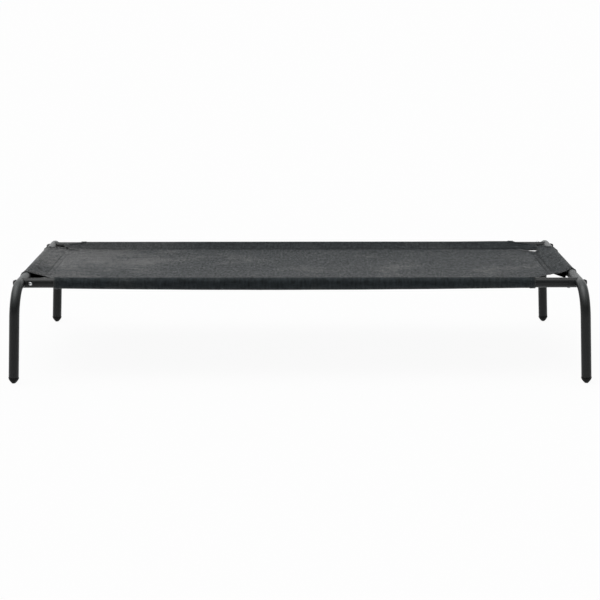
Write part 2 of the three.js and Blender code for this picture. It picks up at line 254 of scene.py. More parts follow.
class Nodes:
    """A node tree that is being built."""

    def __init__(self, tree):
        self.tree = tree

    def link(self, value, socket):
        """Sets an input to a number, a colour or a vector, or links it."""
        if isinstance(value, Value):
            self.tree.links.new(value.socket, socket)
        else:
            socket.default_value = value

    def node(self, kind, settings=None, inputs=(), output=0):
        """Adds a node. inputs is a run of values in socket order, or a dict by socket name or number."""
        added = self.tree.nodes.new(kind)
        for setting, value in (settings or {}).items():
            setattr(added, setting, value)
        pairs = inputs.items() if isinstance(inputs, dict) else enumerate(inputs)
        for socket, value in pairs:
            self.link(value, added.inputs[socket])
        return Value(self, added.outputs[output])

    def white_background(self, in_gloss=1.0):
        """1 for the camera, in_gloss for what gloss and glass show, 0 for the light on a surface."""
        camera = self.node("ShaderNodeLightPath", output="Is Camera Ray")
        return camera + in_gloss * (camera.beside("Is Glossy Ray") + camera.beside("Is Transmission Ray"))

    def split(self, vector):
        """The three parts of a vector."""
        x = self.node("ShaderNodeSeparateXYZ", None, (vector,))
        return x, x.beside("Y"), x.beside("Z")

    def cloud(self, vector, scale, detail=3.0, roughness=0.5, stretch=None):
        """Noise from 0 to 1. stretch is how much finer it is along each axis."""
        if stretch:
            vector = self.node("ShaderNodeVectorMath", {"operation": "MULTIPLY"}, (vector, stretch))
        return self.node("ShaderNodeTexNoise", {"noise_dimensions": "3D"}, {
            "Vector": vector, "Scale": scale, "Detail": detail, "Roughness": roughness,
        })

    def ramp(self, value, low, high, start=0.0, end=1.0):
        """value brought from low..high to start..end and held there."""
        return self.node("ShaderNodeMapRange", {"clamp": True}, {
            "Value": value, "From Min": low, "From Max": high, "To Min": start, "To Max": end,
        })

    def blend(self, factor, first, second):
        """From the first colour to the second."""
        pair = [value if isinstance(value, Value) else (*value[:3], 1) for value in (first, second)]
        inputs = {0: factor, 6: pair[0], 7: pair[1]}
        return self.node("ShaderNodeMix", {"data_type": "RGBA"}, inputs, output=2)


class Shader(Nodes):
    """A new material with one Principled shader, and the nodes that vary it."""

    def __init__(self, name, colour, roughness, **constants):
        self.material = bpy.data.materials.new(name)
        self.material.use_nodes = True
        super().__init__(self.material.node_tree)
        self.surface = self.tree.nodes["Principled BSDF"]
        self.set("Base Color", (*colour, 1))
        self.set("Roughness", roughness)
        for socket, value in constants.items():
            self.set(socket.replace("_", " ").title().replace("Ior", "IOR"), value)

    def set(self, socket, value):
        self.link(value, self.surface.inputs[socket])

    def place(self, output="Object"):
        return self.node("ShaderNodeTexCoord", output=output)

    def note(self, name):
        """A number that the mesh carries at each of its points."""
        return self.node("ShaderNodeAttribute", {"attribute_name": name}, output="Fac")

    def vary(self, factor, colour, low, high):
        """A colour that runs between two shades of itself."""
        return self.blend(factor, lighter(colour, low), lighter(colour, high))

    def bump(self, height, distance, strength):
        """The last touch, which gives the finished material back."""
        inputs = {"Height": height, "Distance": distance, "Strength": strength}
        self.set("Normal", self.node("ShaderNodeBump", None, inputs))
        return self.material


# ---- Materials ----


def lighter(colour, factor):
    """A colour scaled by a factor, held below 1."""
    return tuple(min(1.0, channel * factor) for channel in colour)


def powder_coat(name, steel, dust_and_highlight, dust_and_highlight_share):
    """Satin black powder coat: a fine orange peel, slow changes of gloss, a few scuffs, and a painted
    highlight on top, with a dusty film.
    """
    shader = Shader(name, steel, 0.35, specular_ior_level=0.26)
    place = shader.place()
    shader.set("Roughness", 0.31 + 0.16 * shader.cloud(place, 22, 4))
    scuffs = shader.ramp(shader.cloud(place, 130, 5, 0.65, stretch=(1, 1, 3)), 0.64, 0.80)
    wear = shader.ramp(shader.cloud(place, 9), 0.48, 0.75)
    worn = shader.vary(0.35 * wear, steel, 1, 1.5)
    worn = shader.blend(0.5 * scuffs, worn, lighter(steel, 2.6))
    # The upper side is lighter: a painted highlight from the light overhead, with a dusty film, varied by a
    # cloud.
    upward = shader.split(shader.place("Normal"))[2]
    top_highlight_and_dust = shader.ramp(upward, 0.30, 0.98) * dust_and_highlight_share * (0.7 + 0.6 * shader.cloud(place, 60))
    shader.set("Base Color", shader.blend(top_highlight_and_dust, worn, dust_and_highlight))
    return shader.bump(shader.cloud(place, 750, 2), 0.00012, 0.5)


def moulded_plastic(name, colour):
    """Matt black plastic with a sandy mould texture and scuffs."""
    shader = Shader(name, colour, 0.55, specular_ior_level=0.12)
    place = shader.place()
    scuffs = shader.ramp(shader.cloud(place, 260, 5, 0.7), 0.58, 0.78)
    shader.set("Base Color", shader.vary(0.6 * scuffs, colour, 1, 2.4))
    shader.set("Roughness", 0.48 + 0.2 * shader.cloud(place, 60))
    return shader.bump(shader.cloud(place, 2400, 2), 0.0001, 0.45)


def black_oxide(name, colour):
    """Oiled black oxide on a bolt, with the metal just showing on the worn parts."""
    shader = Shader(name, colour, 0.36, specular_ior_level=0.7)
    place = shader.place()
    bare_metal = (0.10, 0.10, 0.105)
    wear = shader.ramp(shader.cloud(place, 420, 4, 0.6), 0.57, 0.76)
    shader.set("Base Color", shader.blend(0.5 * wear, colour, bare_metal))
    shader.set("Metallic", 0.5 * wear)
    shader.set("Roughness", 0.27 + 0.2 * shader.cloud(place, 300))
    return shader.material


def plated_steel(name, colour, roughness):
    """Bright metal with a fine drawn grain."""
    shader = Shader(name, colour, roughness, metallic=1.0)
    place = shader.place()
    grain = shader.cloud(place, 900, 3, 0.6, stretch=(1, 1, 6))
    shader.set("Base Color", shader.vary(shader.cloud(place, 180), colour, 0.82, 1))
    shader.set("Roughness", roughness - 0.06 + 0.16 * grain)
    return shader.bump(grain, 0.00005, 0.3)


def woven_mesh(name, colour, warm, gap, pitch):
    """Plain weave of coated threads that run along the flat sheet, whose UV map is in metres."""
    shader = Shader(name, colour, 0.5, specular_ior_level=0.155, specular_tint=(0.75, 0.94, 1, 1))
    flat = shader.node("ShaderNodeUVMap", {"uv_map": "flat"})
    across, along, _ = shader.split(flat)
    warp, weft = ((axis * (math.pi / pitch)).math("SINE") for axis in (across, along))
    ridge = (warp * weft).math("ABSOLUTE")
    height = shader.ramp((warp * warp) * (weft * weft), 0.0, 0.55)

    def uneven(across_metre, along_metre, detail):
        """Changes from thread to thread, by how many there are in a metre each way."""
        return shader.cloud(flat, 1, detail, 0.6, stretch=(across_metre, along_metre, 1))

    streaks = 0.35 * uneven(14, 420, 4) + 0.3 * uneven(10, 110, 4) + 0.35 * uneven(300, 60, 3)
    shade = shader.ramp(0.4 * streaks + 0.35 * uneven(220, 50, 2) + 0.25 * uneven(80, 110, 2), 0.39, 0.61)
    # The threads fade in patches; towards the rear left corner they are lighter, warmer and glossier: a
    # painted sheen.
    sheen_towards_rear_left = shader.ramp(across, -0.48, -0.20, 0.50, 0.0) * shader.ramp(along, -0.08, 0.10, 0.25, 1.0)
    faded_and_sheen = shader.ramp(shader.cloud(flat, 7.5, 4, 0.55) + sheen_towards_rear_left, 0.53, 0.80)
    layers, sewn, edge_highlights = (shader.note(note) for note in NOTES)
    fresh, pale_warm_threads = shader.vary(shade, colour, 0.25, 1.65), shader.vary(shade, warm, 0.5, 1.6)
    thread = shader.blend(0.55 * faded_and_sheen, fresh, pale_warm_threads)
    # Painted shade where the mesh lies in two layers and beside the seams, and a painted highlight along
    # folded edges.
    for share, over in ((0.45 * layers, (0, 0, 0)), (0.8 * sewn, gap), (0.5 * edge_highlights, lighter(warm, 2))):
        thread = shader.blend(share, thread, over)
    # Between the threads the colour goes to painted shade, for the holes of the weave.
    shader.set("Base Color", shader.blend(height, gap, thread))
    shader.set("Roughness", 0.67 - 0.12 * ridge - 0.15 * faded_and_sheen - 0.24 * shade + 0.12 * layers + 0.25 * sewn)
    return shader.bump(height, 0.00025, 0.7)


def sewing_thread(name, colour):
    """Dark polyester thread with a fine twist."""
    shader = Shader(name, colour, 0.6)
    twist = shader.cloud(shader.place(), 2600, 2, stretch=(1, 1, 3))
    shader.set("Base Color", shader.vary(twist, colour, 0.6, 1.9))
    return shader.bump(twist, 0.00008, 0.5)


def finish(name):
    """The material of that name, made the first time that it is asked for."""
    scene = bpy.context.scene
    tint = scene.bed_finishes
    maker, *values = {
        # The last number is the share of the painted top highlight, with its dusty film, on each coat.
        "end_frame_coat": (powder_coat, tint.steel, tint.dust_and_highlight, 0.85),
        "rail_coat": (powder_coat, tint.steel, tint.dust_and_highlight, 0.12),
        "moulded_plastic": (moulded_plastic, tint.plastic),
        "black_oxide": (black_oxide, tint.bolt),
        "zinc_plate": (plated_steel, tint.zinc, 0.36),
        "bright_rivet": (plated_steel, tint.rivet, 0.42),
        "woven_mesh": (woven_mesh, tint.mesh, tint.mesh_warm, tint.gap, scene.bed_cover.thread_pitch),
        "sewing_thread": (sewing_thread, tint.thread),
    }[name]
    return bpy.data.materials.get(name) or maker(name, *values)


# ---- Meshes ----


def add_object(name, data):
    added = bpy.data.objects.new(name, data)
    bpy.context.scene.collection.objects.link(added)
    return added


def add_mesh(name, work, material):
    """Makes an object from a bmesh, which is used up."""
    mesh = bpy.data.meshes.new(name)
    work.to_mesh(mesh)
    work.free()
    mesh.materials.append(material)
    return add_object(name, mesh)


def add_piece(name, work, material, replaced=(), sharp=40):
    """Makes a piece of the bed. Edges over sharp degrees stay sharp."""
    bmesh.ops.recalc_face_normals(work, faces=work.faces)
    piece = add_mesh(name, work, finish(material))
    piece.data.shade_smooth()
    piece.data.set_sharp_from_angle(angle=math.radians(sharp))
    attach(piece, "root")
    if replaced:
        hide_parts(*replaced)
    return piece


def add_rings(work, rings, closed=False, capped=False):
    """A skin over a run of rings with as many points each. closed joins the last ring to the first."""
    rows = [[work.verts.new(point) for point in ring] for ring in rings]
    following = rows[1:] + rows[:1] if closed else rows[1:]
    for row, after in zip(rows, following):
        for side in range(len(row)):
            beside = (side + 1) % len(row)
            work.faces.new((row[side], row[beside], after[beside], after[side]))
    if capped:
        work.faces.new(reversed(rows[0]))
        work.faces.new(rows[-1])


def add_skin(name, rings, place, material, slot, node, **ends):
    """Makes the piece that stands for a node, as a skin over rings that are moved to their place."""
    work = bmesh.new()
    add_rings(work, [[place @ point for point in ring] for ring in rings], **ends)
    add_piece(name, work, material, [node])


def circle(radius, height=0.0, sides=48):
    """A ring of points round Z."""
    turns = [2 * math.pi * side / sides for side in range(sides)]
    return [Vector((radius * math.cos(turn), radius * math.sin(turn), height)) for turn in turns]


def turned(profile):
    """Rings round Z from a profile in (radius, height)."""
    return [circle(radius, height) for radius, height in profile]


def curve_points(start, pull, end, steps):
    """Points along a quadratic curve in (radius, height)."""
    start, pull, end = (Vector(point) for point in (start, pull, end))
    shares = [step / steps for step in range(steps + 1)]
    return [(1 - t) ** 2 * start + 2 * t * (1 - t) * pull + t ** 2 * end for t in shares]


# ---- Tubes ----

BEND_STEPS = 18  # rings along a bend
BURR = 0.00025  # width of the broken edge of a sawn tube


def leaning(sizes, end):
    """The frame of one end: origin in the middle of the end tube's axis, Z up the leaning legs."""
    middle = Matrix.Translation((end * sizes.end_x, 0, sizes.axis_height))
    return middle @ Matrix.Rotation(-end * sizes.leg_lean, 4, "Y")


def leg_reach(sizes):
    """From the end tube's axis down a leg to the floor."""
    return sizes.axis_height / math.cos(sizes.leg_lean)


def end_frame_rings(sizes, radius):
    """Rings of an end frame's tube from the front leg's foot to the rear leg's, flattened in the bends."""
    foot = sizes.cap_height - leg_reach(sizes)
    stations = [(-sizes.leg_y, foot, math.pi / 2, 1.0)]
    for side in ROWS:
        for step in range(BEND_STEPS + 1):
            turn = step / BEND_STEPS * math.pi / 2
            angle = math.pi / 2 - turn if side < 0 else -turn
            normal = angle + math.pi / 2
            along = side * (sizes.leg_y - sizes.bend_radius) + sizes.bend_radius * math.cos(normal)
            flat = 1 - sizes.bend_flattening * math.sin(2 * turn) ** 2
            stations.append((along, sizes.bend_radius * (math.sin(normal) - 1), angle, flat))
    stations.append((sizes.leg_y, foot, -math.pi / 2, 1.0))
    rings = []
    for y, z, angle, flat in stations:
        outward = Vector((0, -math.sin(angle), math.cos(angle)))
        rings.append([Vector((point.x, y, z)) + point.y * flat * outward for point in circle(radius)])
    return rings


class BED_OT_end_frames(bpy.types.Operator):
    """Make the two end frames, each one tube bent into a bar and two legs"""

    bl_idname = "dog_bed.end_frames"
    bl_label = "End Frames"

    def execute(self, context):
        sizes = context.scene.bed_frame
        outside = end_frame_rings(sizes, sizes.tube_radius)
        inside = end_frame_rings(sizes, sizes.tube_radius - sizes.tube_wall)
        rings = outside + inside[::-1]
        for end, node in zip(ENDS, ("left_end_frame", "right_end_frame")):
            place = leaning(sizes, end)
            add_skin(f"{node}_tube", rings, place, "end_frame_coat", "frame_steel", node, closed=True)
        return {"FINISHED"}


def coped_ring(sizes, radius, end, inset):
    """The rim of a rail where it is cut to the round of an end tube. inset draws it back from the cut."""
    cut = sizes.tube_radius + sizes.clearance
    ring = []
    for point in circle(radius, sides=64):
        reach = sizes.end_x - math.sqrt(cut ** 2 - point.y ** 2) - inset
        ring.append(Vector((end * reach, point.x, point.y)))
    return ring


class BED_OT_rails(bpy.types.Operator):
    """Make the two rails, with their ends cut to the round of the end tubes"""

    bl_idname = "dog_bed.rails"
    bl_label = "Rails"

    def execute(self, context):
        sizes = context.scene.bed_frame
        outer = sizes.tube_radius
        inner = outer - sizes.tube_wall
        rims = (
            (outer - BURR, -1, 0), (outer, -1, BURR), (outer, 1, BURR), (outer - BURR, 1, 0),
            (inner, 1, 0), (inner, -1, 0),
        )
        rings = [coped_ring(sizes, *rim) for rim in rims]
        for row, node in zip(ROWS, ("front_rail", "rear_rail")):
            place = Matrix.Translation((0, row * sizes.rail_y, sizes.axis_height))
            add_skin(f"{node}_tube", rings, place, "rail_coat", "frame_steel", node, closed=True)
        return {"FINISHED"}


class BED_OT_foot_caps(bpy.types.Operator):
    """Make the moulded cap on the end of each leg"""

    bl_idname = "dog_bed.foot_caps"
    bl_label = "Foot Caps"

    def execute(self, context):
        sizes = context.scene.bed_frame
        rim = sizes.tube_radius + sizes.cap_rim
        floor = -sizes.cap_height
        overrun = 0.002  # below the floor, for the level cut
        edge = 0.0003
        spigot = sizes.tube_radius - sizes.tube_wall - 2 * sizes.clearance
        rings = turned([
            (sizes.cap_tip_radius, floor - overrun),
            *curve_points(
                (sizes.cap_tip_radius, floor), (rim, floor + sizes.cap_shoulder),
                (rim, floor + sizes.cap_nose_height), 14,
            ),
            (rim, -sizes.clearance - edge),
            (rim - edge, -sizes.clearance),
            (spigot, -sizes.clearance),
            (spigot, sizes.spigot_length),
        ])
        for end, row in CORNERS:
            foot = Vector((0, row * sizes.leg_y, sizes.cap_height - leg_reach(sizes)))
            place = leaning(sizes, end) @ Matrix.Translation(foot)
            axis = (place.to_3x3() @ UP).normalized()
            placed = [[place @ point for point in ring] for ring in rings]
            # Below the floor the nose is cut off level, along the leg.
            for point in sum(placed, []):
                if point.z < 0:
                    point -= axis * (point.z / axis.z)
            work = bmesh.new()
            add_rings(work, placed, capped=True)
            bmesh.ops.remove_doubles(work, verts=work.verts, dist=1e-6)
            node = f"foot_cap_{corner_name(end, row)}"
            add_piece(f"{node}_moulding", work, "moulded_plastic", [node])
        return {"FINISHED"}


# ---- Fasteners ----

BOLT_TURN = math.radians(23)  # from one bolt to the next, since each stops where it is tight


def rail_end(sizes, end, row):
    """The frame of one rail end: origin on the end tube's axis, Z inwards along the rail."""
    place = Matrix.Translation((end * sizes.end_x, row * sizes.rail_y, sizes.axis_height))
    return place @ Matrix.Rotation(-end * math.pi / 2, 4, "Y")


def hexagon(width, height):
    """A hexagon with this width across its flats, as a ring with as many points as a circle."""
    ring = []
    for point in circle(1, height):
        radius = width / 2 / math.cos(math.atan2(point.y, point.x) % (math.pi / 3) - math.pi / 6)
        ring.append(Vector((point.x * radius, point.y * radius, height)))
    return ring


def bolt_rings(sizes, fasteners):
    """A button head bolt. Its head is below z = 0 and its shank runs up."""
    seat = -(sizes.tube_radius + 2 * sizes.clearance + fasteners.washer_thickness)
    top = seat - fasteners.head_height
    edge = fasteners.head_height / 10
    tip = sizes.tube_radius + sizes.clearance + fasteners.engagement
    head = fasteners.head_radius
    shank = fasteners.bolt_radius
    width = fasteners.socket_width
    depth = fasteners.socket_depth
    socket = [
        hexagon(width * 0.86, top + depth),
        hexagon(width, top + depth * 0.94),
        hexagon(width, top + edge / 2),
        hexagon(width * 1.06, top),
    ]
    return socket + turned([
        *curve_points((fasteners.crown_radius, top), (head - edge, top), (head, seat - 2 * edge), 12),
        (head, seat - edge),
        (head - edge, seat),
        (shank, seat),
        (shank, tip - shank / 3),
        (shank * 2 / 3, tip),
    ])


def washer_rings(sizes, fasteners):
    """A saddle washer: flat under the bolt head, and hollowed to the round of the end tube."""
    cut = sizes.tube_radius + sizes.clearance
    face = -(cut + fasteners.washer_thickness)
    hole = fasteners.bolt_radius + sizes.clearance
    rim = fasteners.washer_radius
    edge = 0.0004
    saddle = turned([(hole, 0.0), (rim, 0.0)])
    for point in sum(saddle, []):
        point.z = -math.sqrt(cut ** 2 - point.x ** 2)
    return saddle + turned([
        (rim, face + edge), (rim - edge * 0.3, face + edge * 0.3), (rim - edge, face), (hole, face),
    ])


class BED_OT_bolts(bpy.types.Operator):
    """Make the frame bolts and the saddle washers under their heads"""

    bl_idname = "dog_bed.bolts"
    bl_label = "Frame Bolts"

    def execute(self, context):
        scene = context.scene
        bolt, washer = (make(scene.bed_frame, scene.bed_fasteners) for make in (bolt_rings, washer_rings))
        turn = 0.0
        for end, row in CORNERS:
            corner = corner_name(end, row)
            place = rail_end(scene.bed_frame, end, row)
            turn += BOLT_TURN
            tight = place @ Matrix.Rotation(turn, 4, "Z")
            node = f"frame_bolt_{corner}"
            add_skin(f"bolt_{corner}", bolt, tight, "black_oxide", "bolt_steel", node, capped=True)
            node = f"saddle_washer_{corner}"
            name = f"washer_{corner}"
            add_skin(name, washer, place, "moulded_plastic", "washer_plastic", node, closed=True)
        return {"FINISHED"}


class BED_OT_rivets(bpy.types.Operator):
    """Make the rivet near each end of a rail, and finish the insert that it holds"""

    bl_idname = "dog_bed.rivets"
    bl_label = "Rail Rivets"

    def execute(self, context):
        sizes = context.scene.bed_frame
        fasteners = context.scene.bed_fasteners
        seat = sizes.tube_radius
        top = seat + fasteners.rivet_height
        head = fasteners.rivet_head
        shank = fasteners.rivet_shank
        mandrel = fasteners.mandrel
        rings = turned([
            (shank, seat - sizes.tube_wall * 3),
            (shank, seat),
            (head, seat),
            *curve_points(
                (head, seat + fasteners.rivet_height * 0.28), (head * 0.82, top), (mandrel * 1.25, top), 10
            ),
            (mandrel, top - mandrel * 0.25),
            (mandrel * 0.6, top - mandrel * 0.15),
        ])
        for end, row in CORNERS:
            corner = corner_name(end, row)
            node = f"rail_rivet_{corner}"
            middle = centre(node)
            hub = Vector((middle.x, row * sizes.rail_y, sizes.axis_height))
            outwards = (middle - hub).normalized()
            place = Matrix.Translation(hub) @ UP.rotation_difference(outwards).to_matrix().to_4x4()
            add_skin(f"rivet_{corner}", rings, place, "bright_rivet", "rivet_steel", node, capped=True)
            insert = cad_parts[f"rail_insert_{corner}"]
            insert.data.materials.clear()
            insert.data.materials.append(finish("zinc_plate"))
        return {"FINISHED"}


# ---- Cover ----

SEAM_ROWS = (0.0015, -0.0080)  # the two rows of stitches of a seam, beyond the seam and on its lap
NOTES = ("double_layer_shade", "sewn", "edge_highlight")  # what the mesh tells its material at each point
DRAWN_DEPTH = 0.07  # how far in from a mouth its flare is felt
SEAM_SHIELD = 0.008  # width beside a seam that a flare of the crossing sleeve doesn't reach
WRAP_STEPS = 22  # cells round a tube
LEAST_HANG = 0.0003  # of a sleeve clear below its tube
RUN_SAG = 0.0009  # of the outer layer between its seam and the tube
LOOSE_FROM, LOOSE_OVER = 0.32, 0.12  # along a loose sleeve: where it starts to stand off, and how slowly
UNEVEN_LIE = 0.0001  # how far a sleeve lies off its tube here and there
LAP_DROP = 1.15  # in thicknesses, from the panel to the lap under it
LAP_FALL = 0.0003  # of the lap towards its own edge
HEM_DROP = 1.05  # in thicknesses, from a sleeve to the hem turned in under it
HEM_STITCH = 0.0015  # from the stitches of a hem to its inner edge
CUT_REGION = 0.2  # length of the sheet at each end that a cut corner can reach


def sign(place):
    """-1 to the left or in front of the middle, 1 beyond it."""
    return -1 if place < 0 else 1


def wave(place, length, seed):
    """Slow noise from about -1 to 1 at a place in metres, with waves of about this length."""
    return noise.noise(Vector((place[0] / length, place[1] / length, seed)))


def smooth(value):
    """0 below 0, 1 above 1, and an even run between."""
    held = min(1.0, max(0.0, value))
    return held * held * (3 - 2 * held)


class Sleeve:
    """One sleeve: its seam, its mouths in metres along its tube, and the lengths of its section."""

    def __init__(self, node, kind, side, sizes, cover, slack=0.0, loose=0.0):
        self.kind = kind
        self.side = side
        self.slack = slack
        self.loose = loose
        axis, tube, self.seam = {
            "long": (0, sizes.rail_y, cover.seam_y), "end": (1, sizes.end_x, cover.seam_x),
        }[kind]
        self.low, self.high = (corner[axis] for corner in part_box(node))
        self.mouths = ((self.low, 1), (self.high, -1))  # with the way in
        self.depth = tube - self.seam
        self.radius = sizes.tube_radius + cover.clearance + cover.thickness / 2
        self.run = math.sqrt(self.depth ** 2 - self.radius ** 2)  # from the seam to the tube
        self.start = math.acos(self.radius / self.depth)  # where the run meets the tube
        self.wrap = (2 * math.pi - 2 * self.start) * self.radius
        self.turn = 2 * self.run + self.wrap  # out, round the tube and back
        self.whole = self.turn + cover.lap

    def inside(self, along):
        """How far a place is in from the nearer mouth."""
        return min(along - self.low, self.high - along)

    def hang(self, along):
        """How far the slack hangs clear below the tube. It is greatest a little left of the middle."""
        middle = (2 * along - self.low - self.high) / (self.high - self.low) + 0.06
        uneven = 1 + 0.1 * wave((along, 0), 0.12, 2.0 + self.side)
        return LEAST_HANG + self.slack * max(0.0, 1 - middle ** 2) * uneven

    def flat(self, along, beyond):
        """The place on the flat sheet that is this far along the sleeve and beyond its seam."""
        across = self.side * (self.seam + beyond)
        return (along, across) if self.kind == "long" else (across, along)


class Flare(NamedTuple):
    """How far a mouth is drawn towards its corner, in metres, and where round the sleeve."""

    seam: float  # at the seam
    run: tuple  # on the outer layer, as (share of the way from the seam to the tube, reach)
    lap: float  # at the seam, on the layer below
    under: float = 0.0  # below the tube
    ragged: float = 0.0
    lip: float = 0.0  # width of the strip short of the seam that goes with the outer layer

    def on_run(self, share):
        """On the outer layer between the seam and the tube."""
        for (low, before), (high, after) in zip(self.run, self.run[1:]):
            if share <= high:
                return before + (after - before) * smooth((share - low) / (high - low))
        return self.run[-1][1]

    def reach(self, beyond, sleeve):
        """At a distance beyond the seam, or short of it where that is negative."""
        if beyond < 0:
            on_lip = smooth((beyond + self.lip + 0.002) / 0.002) if self.lip else 0.0
            return self.seam * math.exp(beyond / 0.015) * (1 - on_lip) + self.on_run(0) * on_lip
        if beyond <= sleeve.run:
            return self.on_run(beyond / sleeve.run)
        if beyond <= sleeve.run + sleeve.wrap:
            share = (beyond - sleeve.run) / sleeve.wrap
            return self.on_run(1) * (1 - smooth(share * 2.5)) + self.under * smooth(share * 1.3 - 0.3)
        back = sleeve.turn - beyond
        kept = smooth(back / (0.8 * sleeve.run))
        return self.lap * (1 - kept) + self.under * smooth(back / (0.3 * sleeve.run) - 2.3)


# Each corner: the mouths of the long and the end sleeve, and how far the loose cut edge curls up.
FLARES = {
    (-1, -1): {
        "long": Flare(0.004, ((0, 0.004), (1, 0)), 0.004),
        "end": Flare(-0.005, ((0, -0.006), (0.3, -0.009), (1, -0.003)), 0.0),
        "curl": 0.0005,
    },
    (1, -1): {
        "long": Flare(0.003, ((0, 0.003), (1, 0)), 0.003),
        "end": Flare(0.004, ((0, 0.004), (0.4, 0.009), (0.8, 0.008), (1, 0)), -0.010, -0.040, 0.0018),
        "curl": 0.0006,
    },
    (-1, 1): {
        "long": Flare(0.015, ((0, 0.022), (0.25, 0.032), (0.6, 0.037), (0.88, 0.004), (1, 0)), 0.015),
        "end": Flare(0.022, ((0, 0.030), (0.45, 0.020), (1, 0)), 0.022),
        "curl": 0.0042,
    },
    (1, 1): {
        "long": Flare(0.003, ((0, 0.050), (0.5, 0.048), (1, 0)), 0.0, lip=0.008),
        "end": Flare(0.010, ((0, 0.010), (0.22, 0.016), (0.40, 0.064), (0.65, 0.060), (1, 0.026)), -0.010),
        "curl": 0.0010,
    },
}


class Sheet:
    """The one sheet of the cover. u and v are metres on the sheet while it is flat: x and y between the
    seams, and going on round the sleeve beyond a seam."""

    def __init__(self, sizes, cover):
        self.cover = cover
        self.axis_height = sizes.axis_height
        self.long = {
            -1: Sleeve("front_sleeve", "long", -1, sizes, cover, cover.front_slack),
            1: Sleeve("rear_sleeve", "long", 1, sizes, cover, cover.rear_slack, cover.loose_rear),
        }
        self.ends = {
            -1: Sleeve("left_sleeve", "end", -1, sizes, cover),
            1: Sleeve("right_sleeve", "end", 1, sizes, cover),
        }
        self.sleeves = [*self.long.values(), *self.ends.values()]
        self.cuts = {corner: self.cut(*corner) for corner in CORNERS}

    def cut(self, end, row):
        """The cut across a corner: where it meets the long seam and the end seam, and which way is in."""
        long, across = self.long[row], self.ends[end]
        first = Vector((long.low if end < 0 else long.high, row * long.seam, 0))
        second = Vector((end * across.seam, across.low if row < 0 else across.high, 0))
        along = (second - first).normalized()
        inwards = Vector((-along.y, along.x, 0))
        if inwards.dot(first) > 0:
            inwards.negate()
        return first, second, inwards

    def inside_cut(self, corner, u, v):
        """How far a place is in from the cut across a corner."""
        first, _, inwards = self.cuts[corner]
        return (Vector((u, v, 0)) - first).dot(inwards)

    def past_seams(self, u, v):
        """How far a place is beyond the nearer end seam and the nearer long seam."""
        return abs(u) - self.cover.seam_x, abs(v) - self.cover.seam_y

    def from_edge(self, u, v):
        """How far a place is in from the nearest mouth or cut corner."""
        past_end, past_long = self.past_seams(u, v)
        if past_long > 0:
            return self.long[sign(v)].inside(u)
        if past_end > 0:
            return self.ends[sign(u)].inside(v)
        return min(self.inside_cut(corner, u, v) for corner in CORNERS)

    def drawn(self, u, v):
        """Where a place lies along the seams once the mouths are drawn to the corners."""
        end, row = corner = sign(u), sign(v)
        past_end, past_long = self.past_seams(u, v)
        shift_u = shift_v = 0.0
        if past_end < 0:
            shift_u = self.pull(self.long[row], corner, past_long, u) * smooth(-past_end / SEAM_SHIELD)
        if past_long < 0:
            shift_v = self.pull(self.ends[end], corner, past_end, v) * smooth(-past_long / SEAM_SHIELD)
        return u + end * shift_u, v + row * shift_v

    def pull(self, sleeve, corner, beyond, along):
        """How far one mouth draws a place that is this far beyond its seam and along its sleeve."""
        flare = FLARES[corner][sleeve.kind]
        inside = sleeve.inside(along)
        reach = flare.reach(beyond, sleeve)
        reach += flare.ragged * wave((beyond, 0.3 * inside), 0.006, 11.0) * smooth(beyond / 0.004)
        return reach * (1 - smooth(inside / DRAWN_DEPTH))

    def seam_height(self, u, v):
        """Height of the sheet between the seams, from the axes of the tubes."""
        cover = self.cover
        across = max(0.0, 1 - (u / cover.seam_x) ** 2)
        back = max(0.0, 1 - (v / cover.seam_y) ** 2)
        to_end, to_long = (-past for past in self.past_seams(u, v))
        edge = min(to_end, to_long)
        height = -cover.sag * across ** 0.7 * back ** 0.8
        if v > 0:
            height += cover.seam_rise * across ** 0.3 * math.exp(-to_long / 0.03)
        # Slow waves all over the sheet, and shorter ones along its edges.
        height += cover.ripple * wave((u, v), 0.16, 3.1) * (0.35 + smooth(edge / 0.08))
        height += 0.5 * cover.ripple * wave((u, v * 0.6), 0.045, 7.7) * math.exp(-edge / 0.05)
        # The stitches draw the two rows of each seam down and gather the mesh beside them.
        for to_seam, along in ((to_end, v), (to_long, u)):
            for number, row in enumerate(SEAM_ROWS):
                near = math.exp(-(((to_seam + row) / 0.0035) ** 2))
                height += cover.pucker * near * (wave((along, row), 0.011, 21.0 + number) - 0.7)
        # The cut corners curl up, the loose ones more.
        end, row = corner = sign(u), sign(v)
        rise = FLARES[corner]["curl"] * (0.75 + wave((u, v), 0.022, 1.3 * end + row))
        return height + rise * math.exp(-max(0.0, self.inside_cut(corner, u, v)) / 0.016)

    def hem(self, inside, edge):
        """How much a hem adds this far in from its mouth. edge is the width over which it ends."""
        return self.cover.hem_rise * (1 - smooth((inside - self.cover.hem_width) / edge))

    def place(self, u, v, offset=0.0):
        """The point in space of a place on the flat sheet, raised by offset above its outer side."""
        x, y = self.drawn(u, v)
        past_end, past_long = self.past_seams(u, v)
        if past_long > 0:
            y, up = self.wrapped(self.long[sign(v)], past_long, u, offset)
        elif past_end > 0:
            x, up = self.wrapped(self.ends[sign(u)], past_end, v, offset)
        else:
            up = self.seam_height(u, v) + offset + self.hem(self.from_edge(u, v), 0.003)
        return Vector((x, y, self.axis_height + up))

    def wrapped(self, sleeve, beyond, along, offset):
        """A place in a sleeve, as (distance from the bed's middle, height above the axis of the tube)."""
        hem = self.hem(sleeve.inside(along), 0.002)
        offset += sleeve.loose * smooth((along - LOOSE_FROM) / LOOSE_OVER)
        uneven = 1 + wave((along, beyond), 0.03, 5.0 + sleeve.side)
        offset += hem + UNEVEN_LIE * smooth(beyond / 0.006) * uneven
        hang = sleeve.hang(along)
        at_seam = Vector((sleeve.depth, self.seam_height(*sleeve.flat(along, 0))))

        def on_tube(angle):
            radius = sleeve.radius + offset + hang * max(0.0, -math.sin(angle)) ** 1.4
            return Vector((radius * math.cos(angle), radius * math.sin(angle)))

